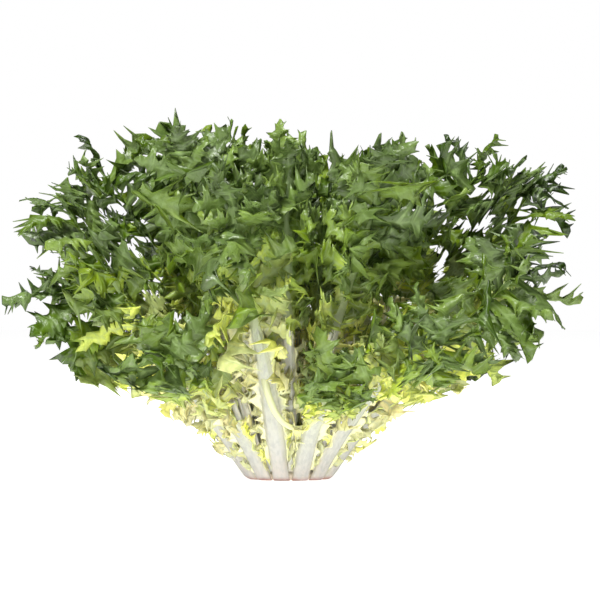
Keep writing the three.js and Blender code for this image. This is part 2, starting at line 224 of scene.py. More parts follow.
def squeeze(distance, half, used):
    """A distance as a share of half the room, levelled off so that it stays within the part used."""
    part = distance / half
    return part / (1 + part**4) ** 0.25 * (used - BLADE / (2 * half))


def place(leaf, points, used=SHARE_USED):
    """From a leaf's own millimetres, x across, y outwards and s along it, to space."""
    x, y, s = points[..., 0], points[..., 1], points[..., 2]
    inside, outside = leaf.whorl["share"]
    half_width, half_depth = share_size(leaf, s)
    out = squeeze(y, half_depth, used)
    side = squeeze(x, half_width, used)
    r, z = arc(np.maximum((inside + outside) / 2 + out * (outside - inside) / 2, 0), s)
    turn = leaf.turn + side * math.pi / leaf.whorl["count"]
    return np.stack([r * np.cos(turn), DEPTH_SHARE * r * np.sin(turn), np.maximum(z, 0)], axis=-1)


class Leaf:
    """What differs from leaf to leaf, drawn in the same order as for the solids."""

    def __init__(self, whorl, index, number):
        self.whorl = whorl
        self.draw = draw = draws_from(number)
        self.rng = np.random.default_rng(number)
        self.turn = (index + whorl["turn"]) / whorl["count"] * 2 * math.pi
        outwards = whorl["sways"][index % len(whorl["sways"])]
        self.sway_out = whorl["sway"] * outwards * lerp(*SWAY_RANGE, draw()) - whorl["tuck"]
        self.length = whorl["length"] * lerp(*LENGTH_RANGE, draw()) * (1 - whorl["fall"] * self.sway_out)
        middle_share = sum(whorl["share"]) / 2
        tip = arc(middle_share, self.length)[0] * math.cos(self.turn)
        parted = math.exp(-(((tip - PARTING["x"]) / PARTING["width"]) ** 2))
        self.length *= 1 - PARTING["depth"] * parted
        self.bare = self.length * whorl["bare"] * lerp(*BARE_RANGE, draw())
        self.wander_phase = draw() * 2 * math.pi
        self.sway_across = lerp(*ACROSS_RANGE, draw())
        self.rib_end = self.length - TIP_LOBE

    def rib_at(self, s):
        """The middle of the stalk and rib at s."""
        half_width, half_depth = share_size(self, s)
        along = s / self.length
        wander = WANDER * np.sin(along * WANDER_WAVE + self.wander_phase) * along
        across = half_width * (wander + self.sway_across * along**3)
        return across, half_depth * self.sway_out * along**SWAY_POWER

    def rib_size(self, s):
        """Width and thickness of the stalk or rib at s."""
        stalk_wide, stalk_thick = self.whorl["stalk"]
        rib_wide, rib_thick = self.whorl["rib"]
        low = np.clip((s - self.whorl["foot"]) / (self.bare - self.whorl["foot"]), 0, 1)
        high = np.clip((s - self.bare) / (self.rib_end - self.bare), 0, 1)
        width = lerp(lerp(stalk_wide, rib_wide, low**2), RIB_TIP_WIDTH, high)
        return width, lerp(lerp(stalk_thick, rib_thick, low), RIB_TIP_THICK, high)

    def edge_point(self, s, side):
        """The left or right edge of the stalk or rib at s."""
        x, y = self.rib_at(s)
        return np.array([x + side * self.rib_size(s)[0] / 2, y, s])

    def lobes(self):
        """The solid's side lobes."""
        rows, draw = self.whorl["rows"], self.draw
        found = []
        for row in range(rows):
            for side in (-1, 1):
                along = (row + 0.5) / rows
                away = -1 if (row + (0 if side > 0 else 1)) % 2 else 1
                turn = away * math.radians(lerp(*LOBE_TURN_DEG, draw()))
                sweep = math.radians(lerp(*SWEEP_DEG, along)) * lerp(*SWEEP_RANGE, draw())
                s = lerp(self.bare, self.rib_end, along)
                ahead = LOBE_AHEAD * (self.length - s) / (math.sin(sweep) * math.cos(turn))
                sideways = room_towards(self, s, turn) * LOBE_REACH
                length = min(sideways, ahead, LOBE_MOST) * lerp(*LOBE_RANGE, draw())
                spacing = 2 * (self.rib_end - self.bare) / rows * math.cos(sweep)
                found.append({
                    "s": s, "span": (self.rib_end - self.bare) / rows, "side": side, "turn": turn,
                    "sweep": sweep, "length": length,
                    "neck": min(NECK, NECK_ROOM * spacing / length),
                    "tooth": min(TOOTH_MOST, TOOTH_ROOM * spacing / length),
                    "twist": math.radians(lerp(-TWIST_DEG, TWIST_DEG, draw())),
                    "curl": lerp(-CURL, CURL, draw()),
                    "teeth": [(draw() - 0.5) * TOOTH_JITTER for _ in range(5)],
                })
        return found


# Meshes and lobes


class Shells:
    """A mesh in the making: thin closed sheets of quads, with the values that the materials read."""

    VALUES = ("pale", "tip", "tone", "under", "yellow")

    def __init__(self):
        self.points, self.quads, self.flat = [], [], []
        self.values = {name: [] for name in self.VALUES}
        self.count = 0

    def add(self, grid, thick, values):
        """grid holds rows by columns of points in space; thick and values are per point."""
        rows, columns = grid.shape[:2]
        down = np.gradient(grid, axis=0)
        over = np.gradient(grid, axis=1)
        normal = np.cross(down, over)
        normal /= np.maximum(np.linalg.norm(normal, axis=-1, keepdims=True), 1e-9)
        offset = normal * (thick / 2)[..., None]
        shift = rows * columns
        ids = np.arange(shift).reshape(rows, columns) + self.count
        top = np.stack([ids[:-1, :-1], ids[1:, :-1], ids[1:, 1:], ids[:-1, 1:]], axis=-1).reshape(-1, 4)
        rim = np.concatenate([ids[:, 0], ids[-1, 1:], ids[-2::-1, -1], ids[0, -2:0:-1]])
        ahead = np.roll(rim, -1)
        walls = np.stack([ahead, rim, rim + shift, ahead + shift], axis=-1)
        self.quads += [top, (top + shift)[:, ::-1], walls]
        self.flat.append(np.repeat([False, True], [2 * len(top), len(walls)]))
        placed = np.concatenate([(grid + offset).reshape(-1, 3), (grid - offset).reshape(-1, 3)])
        placed[:, 2] = np.maximum(placed[:, 2], 0)
        self.points.append(placed)
        faces_out = (normal * grid * (1, 1, 0)).sum() > 0
        for name in self.VALUES:
            if name == "under":
                sides = [np.full(shift, float(faces_out)), np.full(shift, float(not faces_out))]
                self.values[name] += sides
            else:
                value = np.broadcast_to(values.get(name, 0.0), (rows, columns)).ravel()
                self.values[name] += [value, value]
        self.count += 2 * shift

    def piece(self, name, material):
        """The finished mesh as an object of the scene."""
        points = np.concatenate(self.points) * METRES_PER_MM
        quads = np.concatenate(self.quads)
        mesh = bpy.data.meshes.new(name)
        mesh.vertices.add(len(points))
        mesh.vertices.foreach_set("co", points.astype(np.float32).ravel())
        mesh.loops.add(quads.size)
        mesh.loops.foreach_set("vertex_index", quads.astype(np.int32).ravel())
        mesh.polygons.add(len(quads))
        mesh.polygons.foreach_set("loop_start", np.arange(0, quads.size, 4, dtype=np.int32))
        mesh.polygons.foreach_set("use_smooth", ~np.concatenate(self.flat))
        mesh.update(calc_edges=True)
        for key in self.VALUES:
            layer = mesh.attributes.new(key, "FLOAT", "POINT")
            layer.data.foreach_set("value", np.concatenate(self.values[key]).astype(np.float32))
        mesh.materials.append(material)
        piece = bpy.data.objects.new(name, mesh)
        bpy.context.scene.collection.objects.link(piece)
        return piece


def unit(v):
    """A direction of length 1."""
    return v / np.linalg.norm(v)


def lobe_directions(lobe):
    """A lobe's directions: along it, across it towards the leaf's tip, and out of it."""
    side, sweep, turn = lobe["side"], lobe["sweep"], lobe["turn"]
    flat = math.cos(turn)
    along = np.array([side * math.cos(sweep) * flat, math.sin(turn), math.sin(sweep) * flat])
    across = np.array([-side * math.sin(sweep), 0, math.cos(sweep)])
    return along, across, np.cross(along, across)


def half_outline(rng, teeth, neck, nicked):
    """One edge of a lobe, as far, wide, lift and vein place, from its root to its tip.

    teeth are (far, wide, lift) of each tooth's point; the nicked ones get a small tooth on the back.
    """
    rows = [(0.0, neck * 1.6, 0.0, 0.0), (0.1, neck, 0.0, 0.1), (0.2, neck * 0.9, 0.0, 0.2)]
    sinus_far, sinus_wide = 0.24, neck * 1.1
    for place_in_row, (far, wide, lift) in enumerate(teeth):
        last = place_in_row == len(teeth) - 1
        next_far = 1.0 if last else teeth[place_in_row + 1][0]
        next_sinus_far = far + rng.uniform(-0.02, 0.2) * (next_far - far)
        next_sinus_wide = neck * rng.uniform(0.9, 1.6) * (1.4 - far)
        base = (sinus_far + next_sinus_far) / 2
        rise_far, rise_wide = far - sinus_far, wide - sinus_wide
        # The back of the tooth, with or without a small tooth on it
        if nicked[place_in_row]:
            nick = rng.uniform(0.42, 0.6)
            out = 0.16 * wide
            rows += [
                (sinus_far + 0.36 * rise_far, sinus_wide + 0.24 * rise_wide, lift * 0.1,
                 lerp(sinus_far, base, 0.3)),
                (sinus_far + nick * rise_far + 0.3 * out, sinus_wide + nick * rise_wide + out,
                 lift * 0.35, lerp(sinus_far, base, 0.6)),
                (sinus_far + (nick + 0.08) * rise_far + 0.2 * out, sinus_wide + (nick + 0.03) * rise_wide,
                 lift * 0.45, lerp(sinus_far, base, 0.8)),
            ]
        else:
            rows.append((sinus_far + 0.62 * rise_far, sinus_wide + 0.42 * rise_wide, lift * 0.3,
                         lerp(sinus_far, base, 0.5)))
        # The point of the tooth, its hollow front and the sinus before the next tooth
        rows.append((far, wide, lift, base))
        rows.append((lerp(far, next_sinus_far, 0.6) - 0.03, lerp(wide, next_sinus_wide, 0.66),
                     lift * 0.45, lerp(base, next_sinus_far, 0.5)))
        if not last:
            rows.append((next_sinus_far, next_sinus_wide, 0.0, next_sinus_far))
        sinus_far, sinus_wide = next_sinus_far, next_sinus_wide
    rows.append((1.0, 0.008, 0.0, 1.0))
    return np.array(rows)


def teeth_of(lobe, size):
    """The teeth of a lobe's lower and upper edge, as far and wide, and which of them are nicked."""
    lower_shift, widening, _, _, upper_shift = lobe["teeth"]
    if size == "large":
        low = [(0.36, 0.45), (0.56 + lower_shift, 1 - 2 * widening), (0.78, 0.62), (0.92, 0.3)]
        high = [(0.44, 0.5), (0.7 + upper_shift, 1 + 2 * widening), (0.86, 0.55), (0.95, 0.25)]
        return low, high, (False, True, True, False)
    low = [(0.42, 0.7), (0.68 + lower_shift, 1 - 2 * widening), (0.88, 0.45)]
    high = [(0.5, 0.75), (0.74 + upper_shift, 1 + 2 * widening), (0.92, 0.4)]
    return low, high, (False, True, False)


def edges_of(rng, lobe, size):
    """The outlines of a lobe's lower and upper edge."""
    wave = LARGE_WAVE if size == "large" else SMALL_WAVE
    low, high, nicked = teeth_of(lobe, size)
    edges = []
    for teeth in (low, high):
        jittered = []
        for far, wide in teeth:
            width = lobe["tooth"] * wide * rng.uniform(0.8, 1.1)
            lift = lobe["curl"] + rng.uniform(-wave, wave) * lobe["tooth"]
            jittered.append((far, width, lift))
        edges.append(half_outline(rng, jittered, lobe["neck"] * 1.3, nicked))
    return edges


def flat_lobe(lower, upper, vein, curl):
    """Five columns of far, wide and up: the lower edge, halfway, the vein, halfway, the upper edge."""
    vein_up = -curl * vein**2 - 0.006
    columns = []
    for edge, sign, share in ((lower, -1, 1), (lower, -1, 0.5), (upper, 1, 0.5), (upper, 1, 1)):
        far = lerp(vein, edge[:, 0], share)
        wide = sign * edge[:, 1] * share
        up = vein_up + (edge[:, 2] - vein_up) * share**2 + (1 - share) * 0.01
        columns.append(np.stack([far, wide, up], axis=-1))
    columns.insert(2, np.stack([vein, np.zeros_like(vein), vein_up], axis=-1))
    return np.stack(columns, axis=1)


def bend_lobe(rng, lobe, flat):
    """A flat lobe's far, wide and up once it is twisted, bowed, rolled at its tip and folded."""
    curl, length = lobe["curl"], lobe["length"]
    _, _, stretch, bend, _ = lobe["teeth"]
    far = flat[..., 0] * (1 + stretch)
    twisted = lobe["twist"] * far
    bow = lobe.get("bow", 0.0) * far * (far - 0.25)
    bow = bow + rng.uniform(-TIP_ROLL, TIP_ROLL) * np.clip(far, 0, 1) ** 3
    wide = flat[..., 1] * np.cos(twisted) - flat[..., 2] * np.sin(twisted) + bend * far**2
    up = flat[..., 1] * np.sin(twisted) + flat[..., 2] * np.cos(twisted) + bow
    phase = FOLD_PHASE * (lobe["twist"] + curl)
    across_folds = 2 * np.cos(0.7 * FOLD_PACE * length * wide + phase)
    folds = np.sin(FOLD_PACE * length * far + across_folds + phase)
    return far, wide, up + FOLD_HEIGHT / length * folds * np.clip(2 * far, 0, 1)


def paleness(lower, upper, far):
    """How pale each point of a lobe is: along its vein, along a side vein out to each tooth, and faintly
    at its two edges, which is painted light.
    """
    pale = VEIN_AND_LIT_EDGE_PALE * np.clip(1.25 - 0.8 * far, 0, 1)
    for edge, column in ((lower, 1), (upper, 3)):
        is_tooth = edge[1:-1, 1] > np.maximum(edge[:-2, 1], edge[2:, 1])
        pale[1:-1, column][is_tooth] = SIDE_VEIN_PALE
    return pale


def grow_lobe(shells, leaf, lobe, directions, foot, colours, size="large"):
    """A lobe with a vein and toothed, curled edges. foot is its root and the reach of its base."""
    along, across, face = directions
    root, base = foot
    lower, upper = edges_of(leaf.rng, lobe, size)
    vein = (lower[:, 3] + upper[:, 3]) / 2
    flat = flat_lobe(lower, upper, vein, lobe["curl"])
    far, wide, up = bend_lobe(leaf.rng, lobe, flat)
    offsets = far[..., None] * along + wide[..., None] * across + up[..., None] * face
    points = root + lobe["length"] * offsets
    # The foot of the lobe spreads along the rib.
    held = np.clip(1 - far / ROOT_SPREAD, 0, 1)[..., None] ** 2
    points = lerp(points, root + ACROSS_LOBE[None, :, None] * base, held)
    tip = colours["tip"] + colours["tip_gain"] * np.clip(far, 0, 1) + 0.1 * np.abs(flat[..., 1])
    used = SHARE_USED if size == "large" else SMALL_SHARE_USED
    shells.add(place(leaf, points, used), np.broadcast_to(LOBE_THICK, far.shape), {
        "pale": paleness(lower, upper, far), "tip": tip,
        "tone": colours["tone"], "yellow": colours["yellow"]})


# The parts of a leaf


def lobe_foot(leaf, s, span, side):
    """Where a lobe starts on the rib's edge, and how far its base reaches along it."""
    low, high = leaf.edge_point(s - span / 2, side), leaf.edge_point(s + span / 2, side)
    root = (low + high) / 2
    root[0] -= side * ROOT_INSET
    return root, (high - low) * ROOT_REACH


def shade(leaf, s):
    """What colours a lobe at s: how near the tip it is, its own tone, and how lime it is."""
    along = (s - leaf.bare) / (leaf.length - leaf.bare)
    lime = leaf.whorl["lime"] * max(0, 1 - along / LIME_REACH)
    tone = leaf.rng.uniform(min(0.5, lime), 1)
    return {"tip": along, "tip_gain": 0.2, "tone": tone, "yellow": 0.7 * lime}


def smaller_lobe(leaf, lobe, s, turn):
    """A lobe that grows beside one of the solid's, with a shape of its own."""
    rng = leaf.rng
    longest = min(room_towards(leaf, s, turn) * SMALL_REACH, SMALL_MOST)
    return {
        "side": lobe["side"], "turn": turn, "sweep": lobe["sweep"] * rng.uniform(0.6, 1.5),
        "length": longest * rng.uniform(0.6, 1.1), "tooth": rng.uniform(0.32, 0.48),
        "neck": rng.uniform(0.06, 0.1), "twist": math.radians(rng.uniform(-60, 60)),
        "curl": rng.uniform(-0.3, 0.3), "bow": rng.uniform(-0.5, 0.5),
        "teeth": list(rng.uniform(-0.05, 0.05, 5)),
    }


def grow_blade(shells, leaf):
    """The lobed part of a leaf: the solid's lobes, smaller ones between them, the tip and the rib."""
    rng = leaf.rng
    solid_lobes = leaf.lobes()
    for lobe in solid_lobes:
        foot = lobe_foot(leaf, lobe["s"], lobe["span"], lobe["side"])
        grow_lobe(shells, leaf, lobe, lobe_directions(lobe), foot, shade(leaf, lobe["s"]))
    tip_lift = lerp(-0.35, 0.45, leaf.draw())
    for lobe in solid_lobes:
        for more in range(2 if leaf.whorl["split"] else 1):
            s = lobe["s"] + lobe["span"] * rng.uniform(-0.55, 0.55)
            if more:
                turn = math.radians(rng.uniform(-60, 85))
            else:
                turn = -math.copysign(math.radians(rng.uniform(35, 88)), lobe["turn"])
            extra = smaller_lobe(leaf, lobe, s, turn)
            foot = lobe_foot(leaf, s, lobe["span"] * 0.55, lobe["side"])
            grow_lobe(shells, leaf, extra, lobe_directions(extra), foot, shade(leaf, s), "small")
    grow_tip(shells, leaf, tip_lift)
    grow_rib(shells, leaf)


def grow_tip(shells, leaf, tip_lift):
    """The lobe that ends the leaf as in the solid, with four smaller ones round it."""
    rng = leaf.rng
    x, y = leaf.rib_at(leaf.rib_end)
    end = np.array([x, y, leaf.rib_end - TIP_FOOT])
    for place_in_fan, lean_deg in enumerate(TIP_FAN_DEG):
        middle = place_in_fan == 0
        lean = math.radians(lean_deg + (0 if middle else rng.uniform(-8, 8)))
        rise = 0.5 * tip_lift if middle else rng.uniform(-0.7, 0.7)
        along = np.array([math.sin(lean), rise, math.cos(lean)])
        across = np.array([math.cos(lean), 0, -math.sin(lean)])
        lobe = {
            "length": TIP_LOBE * (1 if middle else rng.uniform(0.65, 1.05)),
            "tooth": TIP_WIDE, "neck": 0.09, "twist": math.radians(rng.uniform(-35, 35)),
            "curl": rng.uniform(-0.15, 0.15), "teeth": [0, 0, 0, 0, 0],
        }
        foot = (end, np.array([TIP_FOOT * math.cos(lean), 0, -TIP_FOOT * math.sin(lean)]))
        grow_lobe(shells, leaf, lobe, (along, across, unit(np.cross(along, across))), foot,
                  shade(leaf, leaf.rib_end), "large" if middle else "small")


def ruffle(rng, s, wavelength):
    """A smooth wandering wave along s, about 1 high."""
    phase = rng.uniform(0, 2 * math.pi, 3)
    pace = 2 * math.pi / wavelength * np.array([1, 1.73, 0.57])
    return sum(np.sin(s * p + f) * w for p, f, w in zip(pace, phase, (0.6, 0.35, 0.4)))


def grow_rib(shells, leaf):
    """The green rib: thick and pale along its middle, with a thin blade on each side."""
    rng = leaf.rng
    s = np.linspace(leaf.bare, leaf.length - TIP_LOBE * RIB_STOPS, RIB_ROWS)
    x, y = leaf.rib_at(s)
    width, thick = leaf.rib_size(s)
    shown = np.clip((s - leaf.bare) / WEB_START, 0, 1)
    webs = [shown * WEB * np.clip(1 + 0.7 * ruffle(rng, s, wavelength=11), 0.1, 2) for _ in range(2)]
    waves = [shown * WEB_WAVE * ruffle(rng, s, wavelength=16) for _ in range(2)]
    places = np.array([-1, -0.4, 0, 0, 0, 0, 0, 0.4, 1])
    in_rib = np.array([-1, -1, -1, -0.5, 0, 0.5, 1, 1, 1])
    web = np.where(places[None, :] < 0, webs[0][:, None], webs[1][:, None])
    wave = np.where(places[None, :] < 0, waves[0][:, None], waves[1][:, None])
    across = x[:, None] + in_rib * width[:, None] / 2 + places * web
    bulge = RIB_BULGE * thick[:, None] * (1 - in_rib**2)
    out = y[:, None] + bulge + wave * np.abs(places)
    points = np.stack([across, out, np.broadcast_to(s[:, None], across.shape)], axis=-1)
    rib_thick = lerp(thick[:, None], EDGE * 0.7, in_rib**2)
    web_thick = np.where(np.abs(places) > 0.9, FINE_EDGE, FINE_BLADE)
    thickness = np.where(np.abs(places) > 0.1, web_thick, rib_thick)
    pale = np.clip(1.2 - np.abs(places) * 1.6 - 0.3 * in_rib**2, 0, 1) * np.ones_like(across)
    along = (s - leaf.bare) / (leaf.length - leaf.bare)
    shells.add(place(leaf, points), thickness, {
        "pale": pale, "tip": along[:, None] + 0 * across, "tone": 0.5})


def grow_stalk(shells, leaf):
    """The white stalk, ridged along its length, from its foot to a wedge along the green rib."""
    rng = leaf.rng
    foot, end = leaf.whorl["foot"], leaf.bare + WEDGE
    s = np.linspace(foot, end, STALK_ROWS)
    x, y = leaf.rib_at(s)
    width, thick = leaf.rib_size(s)
    left = np.clip((end - s) / WEDGE, 0.02, 1)
    width, thick = width * left**0.4, thick * left
    in_rib = np.array([-1, -0.95, -0.86, -0.74, -0.6, -0.46, -0.32, -0.16, 0,
                       0.16, 0.32, 0.46, 0.6, 0.74, 0.86, 0.95, 1])
    across = x[:, None] + in_rib * width[:, None] / 2
    ridges = RIDGE_HEIGHT * np.cos(in_rib * RIDGE_PACE + rng.uniform(0, 6)) * (1 - in_rib**2)
    out = y[:, None] + STALK_BULGE * thick[:, None] * (1 - in_rib**2) + ridges
    across = across + in_rib**3 * 0.7 * ruffle(rng, s, wavelength=45)[:, None]
    points = np.stack([across, out, np.broadcast_to(s[:, None], across.shape)], axis=-1)
    thickness = lerp(thick[:, None], EDGE * left[:, None], np.abs(in_rib) ** 2.5)
    thickness = thickness * np.sqrt(np.clip(1.08 - in_rib**4, 0, 1))
    along = (s - foot) / (end - foot)
    shells.add(place(leaf, points), thickness, {
        # Outer stalks keep the body colour; the middle ones are painted lighter, as painted light for the
        # shade they stand in
        "pale": 1.0 if leaf.whorl["name"] == "outer" else 0.0,
        "tip": (along[:, None] if leaf.whorl["split"] else 0) * np.ones_like(across),
        "tone": rng.uniform(0, 1),
        "yellow": np.abs(in_rib) ** 5 * np.ones_like(across) * 0.35})


def grow_fork(shells):
    """The thin branch that leaves the front stalk and hangs down before it to the right."""
    path = np.array(FORK_PATH, dtype=float)
    knots = np.arange(len(path))
    t = np.linspace(0, len(path) - 1, FORK_ROWS)
    middle = np.stack([np.interp(t, knots, path[:, axis]) for axis in range(3)], axis=-1)
    for _ in range(FORK_ROUNDS):
        middle[1:-1] = (middle[:-2] + 2 * middle[1:-1] + middle[2:]) / 4
    ahead = np.gradient(middle, axis=0)
    across = np.stack([ahead[:, 2], 0 * ahead[:, 0], -ahead[:, 0]], axis=-1)
    across /= np.linalg.norm(across, axis=1, keepdims=True)
    wide = lerp(*FORK_WIDTH, t / t[-1])[:, None, None]
    columns = np.array([-1, -0.8, -0.4, 0, 0.4, 0.8, 1])[None, :, None]
    grid = middle[:, None, :] + across[:, None, :] * columns * wide * 0.75
    grid = grid - np.array([0, 1, 0]) * (1 - columns**2) * wide * 0.4
    thick = wide[..., 0] * np.sqrt(np.clip(1.04 - columns[..., 0] ** 2, 0, 1))
    yellow = (t / t[-1])[:, None] * 0.7 + 0.2
    shells.add(grid, thick, {"pale": 1.0, "tip": 0.8, "tone": 0.75, "yellow": yellow})


def grow_frill(shells, leaf, side):
    """A ragged, ruffled margin along a stalk's edge, with teeth of all sizes that point forwards."""
    rng = leaf.rng
    frill = leaf.whorl["frill"]
    wide, start, end = frill["wide"], leaf.bare * frill["start"], leaf.bare + FRILL_PAST
    s = np.arange(start, end, FRILL_STEP)
    x, y = leaf.rib_at(s)
    width, _ = leaf.rib_size(s)
    t = (s - start) / (end - start)
    steps = np.cumsum(rng.uniform(1.6, 5.5, int((end - start) / 2)))
    heights = np.where(np.arange(len(steps)) % 2, rng.uniform(0.5, 1.1, len(steps)),
                       rng.uniform(0.1, 0.45, len(steps)))
    tooth = np.interp(s - start, steps, heights)
    uneven = 0.75 + 0.4 * ruffle(rng, s, wavelength=37)
    swell = np.sin(math.pi * np.clip(t, 0, 1)) ** 0.6 * uneven
    reach = wide * np.clip(swell, 0.06, 1.4) * tooth
    wave = ruffle(rng, s, wavelength=13) * wide * 0.4
    shares = np.array([0, 0.35, 0.7, 1])
    across = x[:, None] + side * (width[:, None] / 2 - 0.5 + reach[:, None] * shares)
    out = y[:, None] + (frill["curl"] * reach[:, None] / wide + wave[:, None]) * shares**1.5
    ahead = s[:, None] + 0.7 * reach[:, None] * shares
    points = np.stack([across, out, ahead], axis=-1)
    thickness = np.broadcast_to(FRILL_THICK, across.shape)
    shells.add(place(leaf, points), thickness, {
        "pale": (1 - shares) * np.ones_like(across), "tip": t[:, None] * np.ones_like(across),
        "tone": rng.uniform(0, 1), "yellow": np.clip(shares * 1.2, 0, 1) * np.ones_like(across)})


def grow_margin_lobes(shells, leaf, side):
    """Small curled lobes along a stalk's edge, like the leaf's own but pale."""
    rng = leaf.rng
    margin = leaf.whorl["margin"]
    start, every = leaf.bare * margin["start"], margin["every"]
    s = start + rng.uniform(0, every)
    while s < leaf.bare:
        share = (s - start) / (leaf.bare - start)
        length = lerp(*margin["sizes"], share) * rng.uniform(0.6, 1.3)
        lobe = {
            "side": side, "turn": math.radians(rng.uniform(-60, 75)),
            "sweep": math.radians(rng.uniform(15, 60)), "length": length,
            "tooth": rng.uniform(0.32, 0.5), "neck": rng.uniform(0.1, 0.16),
            "twist": math.radians(rng.uniform(-70, 70)), "curl": rng.uniform(-0.35, 0.35),
            "bow": rng.uniform(-0.6, 0.6), "teeth": list(rng.uniform(-0.06, 0.06, 5)),
        }
        foot = lobe_foot(leaf, s, every * 1.5, side)
        colours = {"tip": 0.0, "tip_gain": 0.05, "tone": rng.uniform(0, 1), "yellow": margin["yellow"]}
        grow_lobe(shells, leaf, lobe, lobe_directions(lobe), foot, colours, "small")
        s += every * rng.uniform(0.6, 1.4)


class Nodes:
    """Short ways to add shader nodes."""

    def __init__(self, name):
        self.material = bpy.data.materials.new(name)
        self.material.use_nodes = True
        self.tree = self.material.node_tree
        self.tree.nodes.clear()

    def add(self, kind, settings=None, **inputs):
        node = self.tree.nodes.new(kind)
        for key, value in (settings or {}).items():
            setattr(node, key, value)
        for key, value in inputs.items():
            self.set(node, key.replace("_", " "), value)
        return node

    def set(self, node, socket, value):
        """Gives a node's socket a constant, or links another node's output to it."""
        target = node.inputs[socket]
        if isinstance(value, bpy.types.NodeSocket):
            self.tree.links.new(value, target)
        else:
            target.default_value = value

    def value(self, name):
        """One of the values that the mesh carries."""
        return self.add("ShaderNodeAttribute", {"attribute_name": name}).outputs["Fac"]

    def math(self, operation, a, b, clamp=False):
        node = self.add("ShaderNodeMath", {"operation": operation, "use_clamp": clamp})
        self.set(node, 0, a)
        self.set(node, 1, b)
        return node.outputs[0]

    def mix(self, share, a, b):
        """From colour a to colour b."""
        node = self.add("ShaderNodeMix", {"data_type": "RGBA"})
        self.set(node, 0, share)
        self.set(node, 6, a if isinstance(a, bpy.types.NodeSocket) else (*a, 1))
        self.set(node, 7, b if isinstance(b, bpy.types.NodeSocket) else (*b, 1))
        return node.outputs[2]

    def ramp(self, share, stops):
        """A colour of the ramp whose stops are (place, colour)."""
        node = self.add("ShaderNodeValToRGB")
        elements = node.color_ramp.elements
        while len(elements) < len(stops):
            elements.new(0.5)
        for element, (position, colour) in zip(elements, stops):
            element.position = position
            element.color = (*colour, 1)
        self.set(node, 0, share)
        return node.outputs[0]

    def noise(self, scale, detail, where=None):
        node = self.add("ShaderNodeTexNoise", Scale=scale, Detail=detail)
        where = where or self.add("ShaderNodeTexCoord").outputs["Object"]
        self.set(node, "Vector", where)
        return node.outputs[0]


# Materials: colours, and ramps of them
GREEN_STOPS = [(0.0, (0.74, 0.76, 0.22)), (0.18, (0.38, 0.50, 0.06)), (0.45, (0.145, 0.25, 0.02)),
               (0.75, (0.07, 0.135, 0.010)), (1.0, (0.042, 0.088, 0.007))]
LIGHT_STOPS = [(0.0, (0.66, 0.70, 0.20)), (0.16, (0.34, 0.46, 0.06)), (0.4, (0.13, 0.235, 0.018)),
               (0.75, (0.065, 0.13, 0.010)), (1.0, (0.045, 0.092, 0.007))]
HEART_STOPS = [(0.0, (0.62, 0.60, 0.20)), (0.35, (0.30, 0.40, 0.06)), (0.7, (0.12, 0.22, 0.022)),
               (1.0, (0.07, 0.14, 0.013))]
LOBE_MARGIN_STOPS = [(0.0, (0.90, 0.83, 0.56)), (0.6, (0.86, 0.81, 0.46)), (1.0, (0.60, 0.71, 0.18))]
VEIN_STOPS = [(0.0, (0.58, 0.62, 0.46)), (0.16, (0.50, 0.58, 0.30)), (0.35, (0.38, 0.50, 0.20)),
              (0.6, (0.32, 0.45, 0.16)), (1.0, (0.24, 0.36, 0.11))]
UNDERSIDE = (0.30, 0.42, 0.15)
STALK_STOPS = [(0.0, (0.45, 0.40, 0.36)), (0.2, (0.47, 0.46, 0.43)), (0.7, (0.50, 0.52, 0.42)),
               (1.0, (0.50, 0.56, 0.36))]
STALK_STREAK = (0.34, 0.34, 0.33)
# A paler cream: painted light on the middle stalks, which stand in shade, and the colour of the frills'
# outer rows
PAINTED_LIGHT_STALK_AND_FRILL = (0.88, 0.87, 0.76)
STALK_MARGIN_STOPS = [(0.0, (0.86, 0.80, 0.54)), (0.6, (0.84, 0.80, 0.46)), (1.0, (0.64, 0.72, 0.24))]
STALK_CUT = (0.26, 0.10, 0.07)
STEM_FLESH = (0.70, 0.64, 0.50)
STEM_RING = (0.52, 0.40, 0.27)
STEM_CUT = (0.34, 0.15, 0.10)
CUT_BROWN_HEIGHT = 0.0025  # metres above the cut where its brown has faded out


